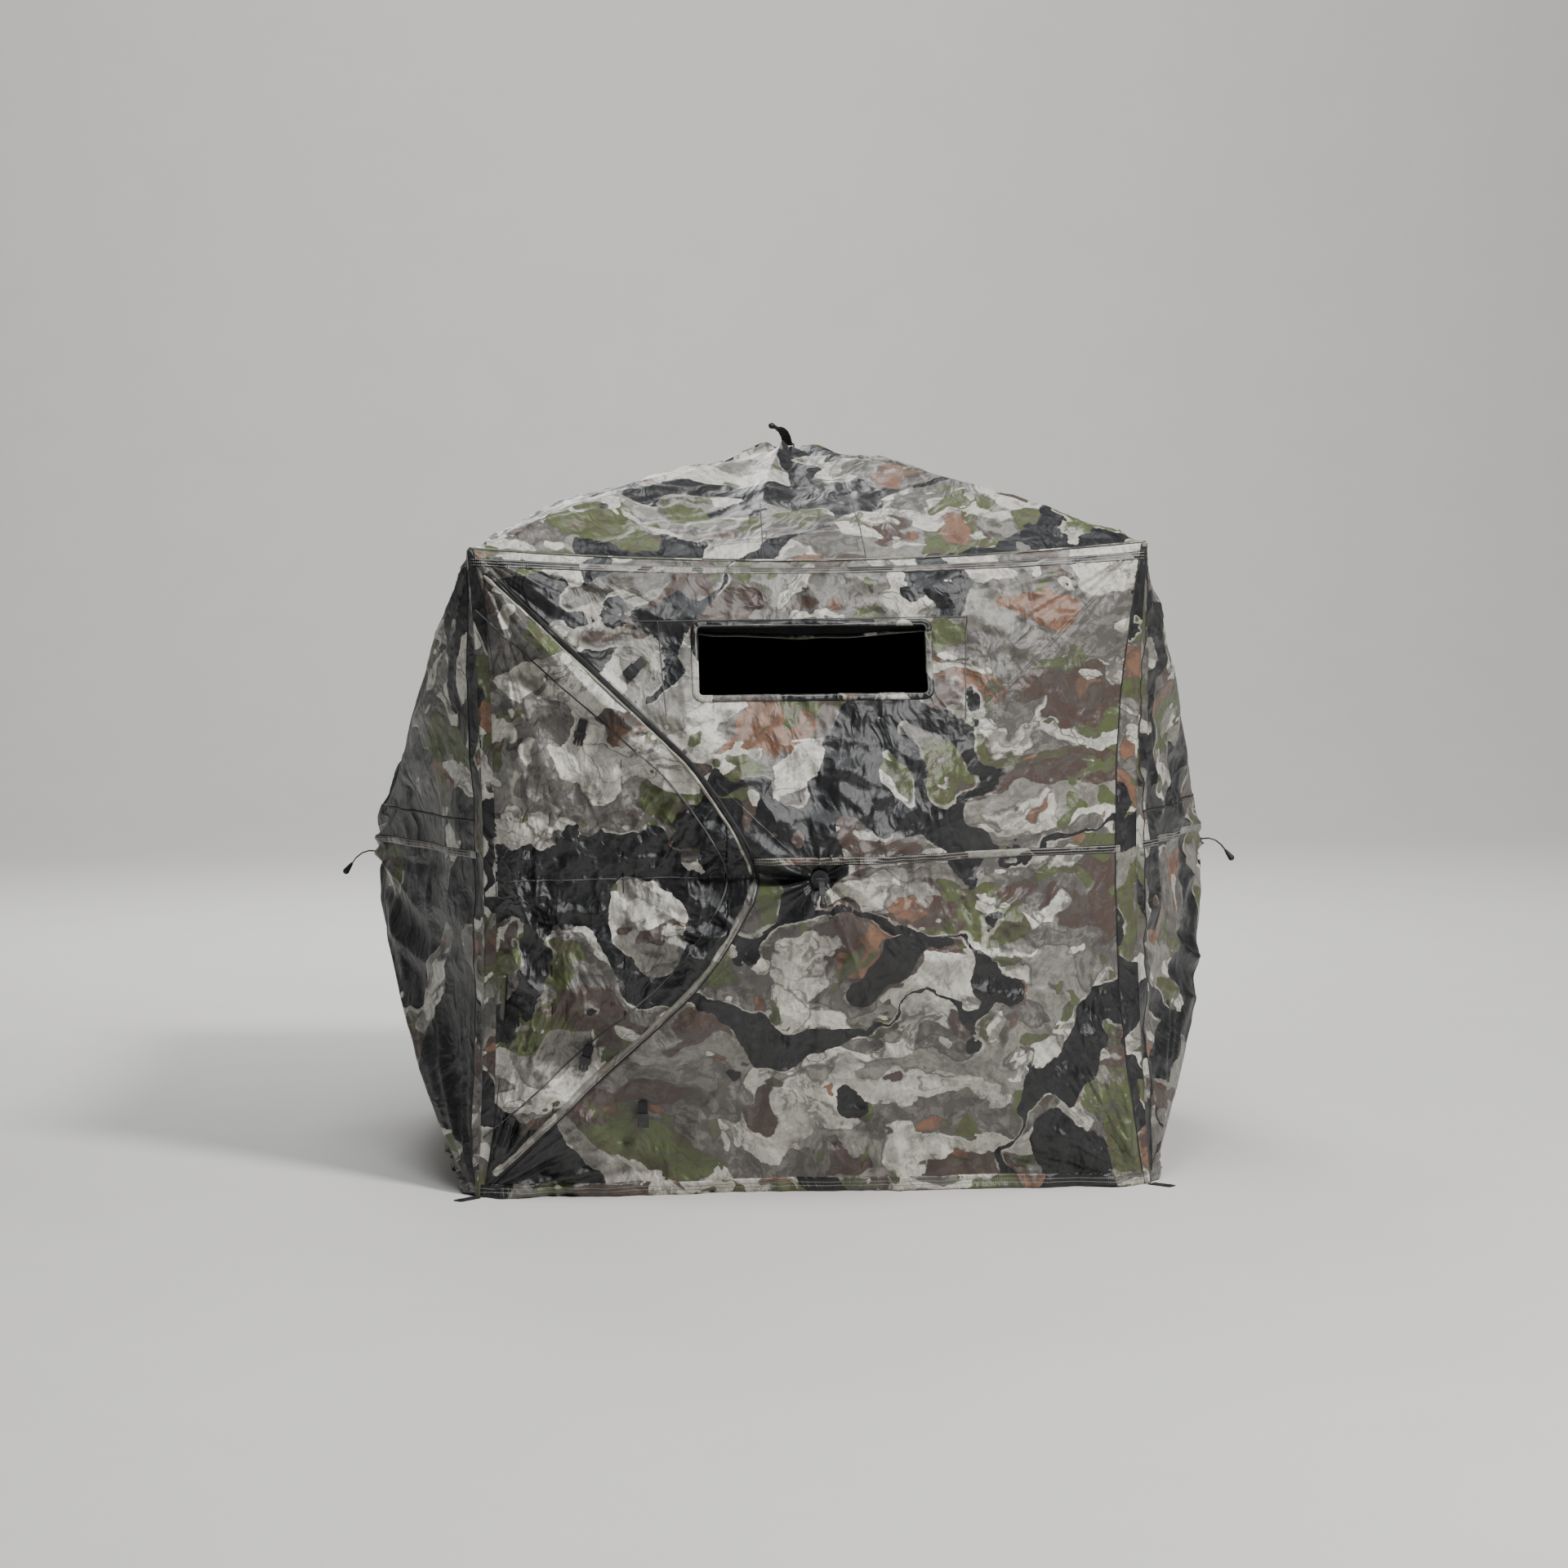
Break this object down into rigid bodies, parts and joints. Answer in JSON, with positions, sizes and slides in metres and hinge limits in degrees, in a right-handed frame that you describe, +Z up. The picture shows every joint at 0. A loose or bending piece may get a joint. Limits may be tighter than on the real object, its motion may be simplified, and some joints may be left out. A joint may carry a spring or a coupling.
{
  "type": "pop up ground blind",
  "caption": "Square pop-up hunting blind with hubbed walls and roof that push in, a zipped door, a window slot with a sliding curtain, and stake eyelets.",
  "frame": {"origin": "middle of the square footprint, on the ground", "axes": "+Z up; the front wall with the window and door faces -Y; +X is to the right of a person who looks at the front"},
  "size_m": [2.1352, 2.1352, 1.7066],
  "materials": {
    "cover_fabric": "satin",
    "door_fabric": "satin",
    "border_fabric": "satin",
    "curtain_fabric": "matte",
    "black_webbing": "matte",
    "hub_plastic": "matte",
    "buckle_plastic": "satin",
    "pole_rod": "satin",
    "zip_metal": "satin"
  },
  "bodies": {
    "cover": {"shell_border": "border_fabric", "corner_gussets": "black_webbing", "stake_loops": "black_webbing"},
    "front_hub": {"front_hub": "hub_plastic"},
    "front_pull_strap": {"front_pull_strap": "black_webbing"},
    "front_pole_top_left": {"front_pole_top_left": "pole_rod"},
    "front_pole_top_right": {"front_pole_top_right": "pole_rod"},
    "front_pole_bottom_right": {"front_pole_bottom_right": "pole_rod"},
    "front_pole_bottom_left": {"front_pole_bottom_left": "pole_rod"},
    "front_panel_left": {"front_panel_left": "cover_fabric"},
    "front_panel_right": {"front_panel_right": "cover_fabric"},
    "front_panel_bottom": {"front_panel_bottom": "cover_fabric"},
    "front_panel_top": {"front_panel_top": "cover_fabric"},
    "right_hub": {"right_hub": "hub_plastic"},
    "right_pull_strap": {"right_pull_strap": "black_webbing"},
    "right_pole_top_left": {"right_pole_top_left": "pole_rod"},
    "right_pole_top_right": {"right_pole_top_right": "pole_rod"},
    "right_pole_bottom_right": {"right_pole_bottom_right": "pole_rod"},
    "right_pole_bottom_left": {"right_pole_bottom_left": "pole_rod"},
    "right_panel_left": {"right_panel_left": "cover_fabric"},
    "right_panel_right": {"right_panel_right": "cover_fabric"},
    "right_panel_bottom": {"right_panel_bottom": "cover_fabric"},
    "right_panel_top": {"right_panel_top": "cover_fabric"},
    "back_hub": {"back_hub": "hub_plastic"},
    "back_pull_strap": {"back_pull_strap": "black_webbing"},
    "back_pole_top_left": {"back_pole_top_left": "pole_rod"},
    "back_pole_top_right": {"back_pole_top_right": "pole_rod"},
    "back_pole_bottom_right": {"back_pole_bottom_right": "pole_rod"},
    "back_pole_bottom_left": {"back_pole_bottom_left": "pole_rod"},
    "back_panel_left": {"back_panel_left": "cover_fabric"},
    "back_panel_right": {"back_panel_right": "cover_fabric"},
    "back_panel_bottom": {"back_panel_bottom": "cover_fabric"},
    "back_panel_top": {"back_panel_top": "cover_fabric"},
    "left_hub": {"left_hub": "hub_plastic"},
    "left_pull_strap": {"left_pull_strap": "black_webbing"},
    "left_pole_top_left": {"left_pole_top_left": "pole_rod"},
    "left_pole_top_right": {"left_pole_top_right": "pole_rod"},
    "left_pole_bottom_right": {"left_pole_bottom_right": "pole_rod"},
    "left_pole_bottom_left": {"left_pole_bottom_left": "pole_rod"},
    "left_panel_left": {"left_panel_left": "cover_fabric"},
    "left_panel_right": {"left_panel_right": "cover_fabric"},
    "left_panel_bottom": {"left_panel_bottom": "cover_fabric"},
    "left_panel_top": {"left_panel_top": "cover_fabric"},
    "roof_hub": {"roof_hub": "hub_plastic"},
    "roof_pull_strap": {"roof_pull_strap": "black_webbing"},
    "roof_pole_back_left": {"roof_pole_back_left": "pole_rod"},
    "roof_pole_back_right": {"roof_pole_back_right": "pole_rod"},
    "roof_pole_front_right": {"roof_pole_front_right": "pole_rod"},
    "roof_pole_front_left": {"roof_pole_front_left": "pole_rod"},
    "roof_panel_left": {"roof_panel_left": "cover_fabric"},
    "roof_panel_right": {"roof_panel_right": "cover_fabric"},
    "roof_panel_front": {"roof_panel_front": "cover_fabric"},
    "roof_panel_back": {"roof_panel_back": "cover_fabric"},
    "door": {"door": "door_fabric"},
    "window_curtain": {"window_curtain": "curtain_fabric"},
    "zip_slider": {"zip_slider": "zip_metal"},
    "upper_buckle_socket": {"upper_buckle_socket": "buckle_plastic"},
    "lower_buckle_socket": {"lower_buckle_socket": "buckle_plastic"},
    "upper_buckle_prongs": {"upper_buckle_prongs": "buckle_plastic"},
    "lower_buckle_prongs": {"lower_buckle_prongs": "buckle_plastic"}
  },
  "joints": [
    {"name": "front_push", "type": "slide", "parent": "cover", "child": "front_hub", "axis": [0, 1, 0], "range_m": [0, 0.47]},
    {"name": "front_strap_swing", "type": "hinge", "parent": "front_hub", "child": "front_pull_strap", "pos_m": [0, -0.9855, 0.7045], "axis": [-1, 0, 0], "range_deg": [-30, 80]},
    {"name": "front_pole_top_left_pivot", "type": "hinge", "parent": "front_hub", "child": "front_pole_top_left", "pos_m": [-0.02315, -0.9425, 0.7266], "axis": [0.6905, 0, 0.7233], "range_deg": [-0.2, 28.33]},
    {"name": "front_pole_top_right_pivot", "type": "hinge", "parent": "front_hub", "child": "front_pole_top_right", "pos_m": [0.02315, -0.9425, 0.7266], "axis": [0.6905, 0, -0.7233], "range_deg": [-0.2, 28.33]},
    {"name": "front_pole_bottom_right_pivot", "type": "hinge", "parent": "front_hub", "child": "front_pole_bottom_right", "pos_m": [0.02315, -0.9425, 0.6824], "axis": [-0.6905, 0, -0.7233], "range_deg": [-0.2, 28.33]},
    {"name": "front_pole_bottom_left_pivot", "type": "hinge", "parent": "front_hub", "child": "front_pole_bottom_left", "pos_m": [-0.02315, -0.9425, 0.6824], "axis": [-0.6905, 0, 0.7233], "range_deg": [-0.2, 28.33]},
    {"name": "front_panel_left_fold", "type": "hinge", "parent": "cover", "child": "front_panel_left", "pos_m": [-0.7065, -0.7365, 0.7045], "axis": [0, 0, 1], "range_deg": [-0.2, 37]},
    {"name": "front_panel_right_fold", "type": "hinge", "parent": "cover", "child": "front_panel_right", "pos_m": [0.7065, -0.7365, 0.7045], "axis": [0, 0, -1], "range_deg": [-0.2, 37]},
    {"name": "front_panel_bottom_fold", "type": "hinge", "parent": "cover", "child": "front_panel_bottom", "pos_m": [0, -0.7365, 0.03], "axis": [-1, 0, 0], "range_deg": [-0.2, 38.62]},
    {"name": "front_panel_top_fold", "type": "hinge", "parent": "cover", "child": "front_panel_top", "pos_m": [0, -0.7365, 1.379], "axis": [1, 0, 0], "range_deg": [-0.2, 38.62]},
    {"name": "right_push", "type": "slide", "parent": "cover", "child": "right_hub", "axis": [-1, 0, 0], "range_m": [0, 0.47]},
    {"name": "right_strap_swing", "type": "hinge", "parent": "right_hub", "child": "right_pull_strap", "pos_m": [0.9855, 0, 0.7045], "axis": [0, -1, 0], "range_deg": [-30, 80]},
    {"name": "right_pole_top_left_pivot", "type": "hinge", "parent": "right_hub", "child": "right_pole_top_left", "pos_m": [0.9425, -0.02315, 0.7266], "axis": [0, 0.6905, 0.7233], "range_deg": [-0.2, 28.33]},
    {"name": "right_pole_top_right_pivot", "type": "hinge", "parent": "right_hub", "child": "right_pole_top_right", "pos_m": [0.9425, 0.02315, 0.7266], "axis": [0, 0.6905, -0.7233], "range_deg": [-0.2, 28.33]},
    {"name": "right_pole_bottom_right_pivot", "type": "hinge", "parent": "right_hub", "child": "right_pole_bottom_right", "pos_m": [0.9425, 0.02315, 0.6824], "axis": [0, -0.6905, -0.7233], "range_deg": [-0.2, 28.33]},
    {"name": "right_pole_bottom_left_pivot", "type": "hinge", "parent": "right_hub", "child": "right_pole_bottom_left", "pos_m": [0.9425, -0.02315, 0.6824], "axis": [0, -0.6905, 0.7233], "range_deg": [-0.2, 28.33]},
    {"name": "right_panel_left_fold", "type": "hinge", "parent": "cover", "child": "right_panel_left", "pos_m": [0.7365, -0.7065, 0.7045], "axis": [0, 0, 1], "range_deg": [-0.2, 37]},
    {"name": "right_panel_right_fold", "type": "hinge", "parent": "cover", "child": "right_panel_right", "pos_m": [0.7365, 0.7065, 0.7045], "axis": [0, 0, -1], "range_deg": [-0.2, 37]},
    {"name": "right_panel_bottom_fold", "type": "hinge", "parent": "cover", "child": "right_panel_bottom", "pos_m": [0.7365, 0, 0.03], "axis": [0, -1, 0], "range_deg": [-0.2, 38.62]},
    {"name": "right_panel_top_fold", "type": "hinge", "parent": "cover", "child": "right_panel_top", "pos_m": [0.7365, 0, 1.379], "axis": [0, 1, 0], "range_deg": [-0.2, 38.62]},
    {"name": "back_push", "type": "slide", "parent": "cover", "child": "back_hub", "axis": [0, -1, 0], "range_m": [0, 0.47]},
    {"name": "back_strap_swing", "type": "hinge", "parent": "back_hub", "child": "back_pull_strap", "pos_m": [0, 0.9855, 0.7045], "axis": [1, 0, 0], "range_deg": [-30, 80]},
    {"name": "back_pole_top_left_pivot", "type": "hinge", "parent": "back_hub", "child": "back_pole_top_left", "pos_m": [0.02315, 0.9425, 0.7266], "axis": [-0.6905, 0, 0.7233], "range_deg": [-0.2, 28.33]},
    {"name": "back_pole_top_right_pivot", "type": "hinge", "parent": "back_hub", "child": "back_pole_top_right", "pos_m": [-0.02315, 0.9425, 0.7266], "axis": [-0.6905, 0, -0.7233], "range_deg": [-0.2, 28.33]},
    {"name": "back_pole_bottom_right_pivot", "type": "hinge", "parent": "back_hub", "child": "back_pole_bottom_right", "pos_m": [-0.02315, 0.9425, 0.6824], "axis": [0.6905, 0, -0.7233], "range_deg": [-0.2, 28.33]},
    {"name": "back_pole_bottom_left_pivot", "type": "hinge", "parent": "back_hub", "child": "back_pole_bottom_left", "pos_m": [0.02315, 0.9425, 0.6824], "axis": [0.6905, 0, 0.7233], "range_deg": [-0.2, 28.33]},
    {"name": "back_panel_left_fold", "type": "hinge", "parent": "cover", "child": "back_panel_left", "pos_m": [0.7065, 0.7365, 0.7045], "axis": [0, 0, 1], "range_deg": [-0.2, 37]},
    {"name": "back_panel_right_fold", "type": "hinge", "parent": "cover", "child": "back_panel_right", "pos_m": [-0.7065, 0.7365, 0.7045], "axis": [0, 0, -1], "range_deg": [-0.2, 37]},
    {"name": "back_panel_bottom_fold", "type": "hinge", "parent": "cover", "child": "back_panel_bottom", "pos_m": [0, 0.7365, 0.03], "axis": [1, 0, 0], "range_deg": [-0.2, 38.62]},
    {"name": "back_panel_top_fold", "type": "hinge", "parent": "cover", "child": "back_panel_top", "pos_m": [0, 0.7365, 1.379], "axis": [-1, 0, 0], "range_deg": [-0.2, 38.62]},
    {"name": "left_push", "type": "slide", "parent": "cover", "child": "left_hub", "axis": [1, 0, 0], "range_m": [0, 0.47]},
    {"name": "left_strap_swing", "type": "hinge", "parent": "left_hub", "child": "left_pull_strap", "pos_m": [-0.9855, 0, 0.7045], "axis": [0, 1, 0], "range_deg": [-30, 80]},
    {"name": "left_pole_top_left_pivot", "type": "hinge", "parent": "left_hub", "child": "left_pole_top_left", "pos_m": [-0.9425, 0.02315, 0.7266], "axis": [0, -0.6905, 0.7233], "range_deg": [-0.2, 28.33]},
    {"name": "left_pole_top_right_pivot", "type": "hinge", "parent": "left_hub", "child": "left_pole_top_right", "pos_m": [-0.9425, -0.02315, 0.7266], "axis": [0, -0.6905, -0.7233], "range_deg": [-0.2, 28.33]},
    {"name": "left_pole_bottom_right_pivot", "type": "hinge", "parent": "left_hub", "child": "left_pole_bottom_right", "pos_m": [-0.9425, -0.02315, 0.6824], "axis": [0, 0.6905, -0.7233], "range_deg": [-0.2, 28.33]},
    {"name": "left_pole_bottom_left_pivot", "type": "hinge", "parent": "left_hub", "child": "left_pole_bottom_left", "pos_m": [-0.9425, 0.02315, 0.6824], "axis": [0, 0.6905, 0.7233], "range_deg": [-0.2, 28.33]},
    {"name": "left_panel_left_fold", "type": "hinge", "parent": "cover", "child": "left_panel_left", "pos_m": [-0.7365, 0.7065, 0.7045], "axis": [0, 0, 1], "range_deg": [-0.2, 37]},
    {"name": "left_panel_right_fold", "type": "hinge", "parent": "cover", "child": "left_panel_right", "pos_m": [-0.7365, -0.7065, 0.7045], "axis": [0, 0, -1], "range_deg": [-0.2, 37]},
    {"name": "left_panel_bottom_fold", "type": "hinge", "parent": "cover", "child": "left_panel_bottom", "pos_m": [-0.7365, 0, 0.03], "axis": [0, 1, 0], "range_deg": [-0.2, 38.62]},
    {"name": "left_panel_top_fold", "type": "hinge", "parent": "cover", "child": "left_panel_top", "pos_m": [-0.7365, 0, 1.379], "axis": [0, -1, 0], "range_deg": [-0.2, 38.62]},
    {"name": "roof_push", "type": "slide", "parent": "cover", "child": "roof_hub", "axis": [0, 0, -1], "range_m": [0, 0.47]},
    {"name": "roof_strap_swing", "type": "hinge", "parent": "roof_hub", "child": "roof_pull_strap", "pos_m": [0, 0, 1.658], "axis": [-0.848, 0.5299, 0], "range_deg": [0, 110]},
    {"name": "roof_pole_back_left_pivot", "type": "hinge", "parent": "roof_hub", "child": "roof_pole_back_left", "pos_m": [-0.02263, 0.02263, 1.615], "axis": [0.7071, 0.7071, 0], "range_deg": [-0.2, 27.71]},
    {"name": "roof_pole_back_right_pivot", "type": "hinge", "parent": "roof_hub", "child": "roof_pole_back_right", "pos_m": [0.02263, 0.02263, 1.615], "axis": [0.7071, -0.7071, 0], "range_deg": [-0.2, 27.71]},
    {"name": "roof_pole_front_right_pivot", "type": "hinge", "parent": "roof_hub", "child": "roof_pole_front_right", "pos_m": [0.02263, -0.02263, 1.615], "axis": [-0.7071, -0.7071, 0], "range_deg": [-0.2, 27.71]},
    {"name": "roof_pole_front_left_pivot", "type": "hinge", "parent": "roof_hub", "child": "roof_pole_front_left", "pos_m": [-0.02263, -0.02263, 1.615], "axis": [-0.7071, 0.7071, 0], "range_deg": [-0.2, 27.71]},
    {"name": "roof_panel_left_fold", "type": "hinge", "parent": "cover", "child": "roof_panel_left", "pos_m": [-0.7065, 0, 1.409], "axis": [0, 1, 0], "range_deg": [-0.2, 37]},
    {"name": "roof_panel_right_fold", "type": "hinge", "parent": "cover", "child": "roof_panel_right", "pos_m": [0.7065, 0, 1.409], "axis": [0, -1, 0], "range_deg": [-0.2, 37]},
    {"name": "roof_panel_front_fold", "type": "hinge", "parent": "cover", "child": "roof_panel_front", "pos_m": [0, -0.7065, 1.409], "axis": [-1, 0, 0], "range_deg": [-0.2, 37]},
    {"name": "roof_panel_back_fold", "type": "hinge", "parent": "cover", "child": "roof_panel_back", "pos_m": [0, 0.7065, 1.409], "axis": [1, 0, 0], "range_deg": [-0.2, 37]},
    {"name": "door_swing", "type": "hinge", "parent": "front_panel_left", "child": "door", "pos_m": [-0.7027, -0.73776, 0.7045], "axis": [0, 0, -1], "range_deg": [0, 135]},
    {"name": "curtain_slide", "type": "slide", "parent": "front_panel_top", "child": "window_curtain", "axis": [0, -0.329, -0.9443], "range_m": [0, 0.138]},
    {"name": "zip_run", "type": "slide", "parent": "front_panel_left", "child": "zip_slider", "axis": [0.7032, -0.2339, -0.6714], "range_m": [0, 0.688]},
    {"name": "upper_buckle_socket_swing", "type": "hinge", "parent": "front_panel_top", "child": "upper_buckle_socket", "pos_m": [-0.362, -0.81468, 1.16903], "axis": [-0.7071, 0.2326, 0.6677], "range_deg": [0, 150]},
    {"name": "lower_buckle_socket_swing", "type": "hinge", "parent": "front_panel_bottom", "child": "lower_buckle_socket", "pos_m": [-0.377, -0.80547, 0.21353], "axis": [-1, 0, 0], "range_deg": [-16, 120]},
    {"name": "upper_buckle_prongs_swing", "type": "hinge", "parent": "door", "child": "upper_buckle_prongs", "pos_m": [-0.49355, -0.81234, 1.0405], "axis": [-0.9207, 0.3062, 0.2419], "range_deg": [0, 150]},
    {"name": "lower_buckle_prongs_swing", "type": "hinge", "parent": "door", "child": "lower_buckle_prongs", "pos_m": [-0.4907, -0.81328, 0.3385], "axis": [-0.9121, 0.3034, 0.2756], "range_deg": [0, 150]}
  ],
  "couplings": [
    {"joint": "front_pole_top_left_pivot", "follows": "front_push", "rad_per_m": 1.0445},
    {"joint": "front_pole_top_right_pivot", "follows": "front_push", "rad_per_m": 1.0445},
    {"joint": "front_pole_bottom_right_pivot", "follows": "front_push", "rad_per_m": 1.0445},
    {"joint": "front_pole_bottom_left_pivot", "follows": "front_push", "rad_per_m": 1.0445},
    {"joint": "front_panel_left_fold", "follows": "front_push", "rad_per_m": 1.3664},
    {"joint": "front_panel_right_fold", "follows": "front_push", "rad_per_m": 1.3664},
    {"joint": "front_panel_bottom_fold", "follows": "front_push", "rad_per_m": 1.4266},
    {"joint": "front_panel_top_fold", "follows": "front_push", "rad_per_m": 1.4266},
    {"joint": "right_pole_top_left_pivot", "follows": "right_push", "rad_per_m": 1.0445},
    {"joint": "right_pole_top_right_pivot", "follows": "right_push", "rad_per_m": 1.0445},
    {"joint": "right_pole_bottom_right_pivot", "follows": "right_push", "rad_per_m": 1.0445},
    {"joint": "right_pole_bottom_left_pivot", "follows": "right_push", "rad_per_m": 1.0445},
    {"joint": "right_panel_left_fold", "follows": "right_push", "rad_per_m": 1.3664},
    {"joint": "right_panel_right_fold", "follows": "right_push", "rad_per_m": 1.3664},
    {"joint": "right_panel_bottom_fold", "follows": "right_push", "rad_per_m": 1.4266},
    {"joint": "right_panel_top_fold", "follows": "right_push", "rad_per_m": 1.4266},
    {"joint": "back_pole_top_left_pivot", "follows": "back_push", "rad_per_m": 1.0445},
    {"joint": "back_pole_top_right_pivot", "follows": "back_push", "rad_per_m": 1.0445},
    {"joint": "back_pole_bottom_right_pivot", "follows": "back_push", "rad_per_m": 1.0445},
    {"joint": "back_pole_bottom_left_pivot", "follows": "back_push", "rad_per_m": 1.0445},
    {"joint": "back_panel_left_fold", "follows": "back_push", "rad_per_m": 1.3664},
    {"joint": "back_panel_right_fold", "follows": "back_push", "rad_per_m": 1.3664},
    {"joint": "back_panel_bottom_fold", "follows": "back_push", "rad_per_m": 1.4266},
    {"joint": "back_panel_top_fold", "follows": "back_push", "rad_per_m": 1.4266},
    {"joint": "left_pole_top_left_pivot", "follows": "left_push", "rad_per_m": 1.0445},
    {"joint": "left_pole_top_right_pivot", "follows": "left_push", "rad_per_m": 1.0445},
    {"joint": "left_pole_bottom_right_pivot", "follows": "left_push", "rad_per_m": 1.0445},
    {"joint": "left_pole_bottom_left_pivot", "follows": "left_push", "rad_per_m": 1.0445},
    {"joint": "left_panel_left_fold", "follows": "left_push", "rad_per_m": 1.3664},
    {"joint": "left_panel_right_fold", "follows": "left_push", "rad_per_m": 1.3664},
    {"joint": "left_panel_bottom_fold", "follows": "left_push", "rad_per_m": 1.4266},
    {"joint": "left_panel_top_fold", "follows": "left_push", "rad_per_m": 1.4266},
    {"joint": "roof_pole_back_left_pivot", "follows": "roof_push", "rad_per_m": 1.0215},
    {"joint": "roof_pole_back_right_pivot", "follows": "roof_push", "rad_per_m": 1.0215},
    {"joint": "roof_pole_front_right_pivot", "follows": "roof_push", "rad_per_m": 1.0215},
    {"joint": "roof_pole_front_left_pivot", "follows": "roof_push", "rad_per_m": 1.0215},
    {"joint": "roof_panel_left_fold", "follows": "roof_push", "rad_per_m": 1.3664},
    {"joint": "roof_panel_right_fold", "follows": "roof_push", "rad_per_m": 1.3664},
    {"joint": "roof_panel_front_fold", "follows": "roof_push", "rad_per_m": 1.3664},
    {"joint": "roof_panel_back_fold", "follows": "roof_push", "rad_per_m": 1.3664}
  ]
}
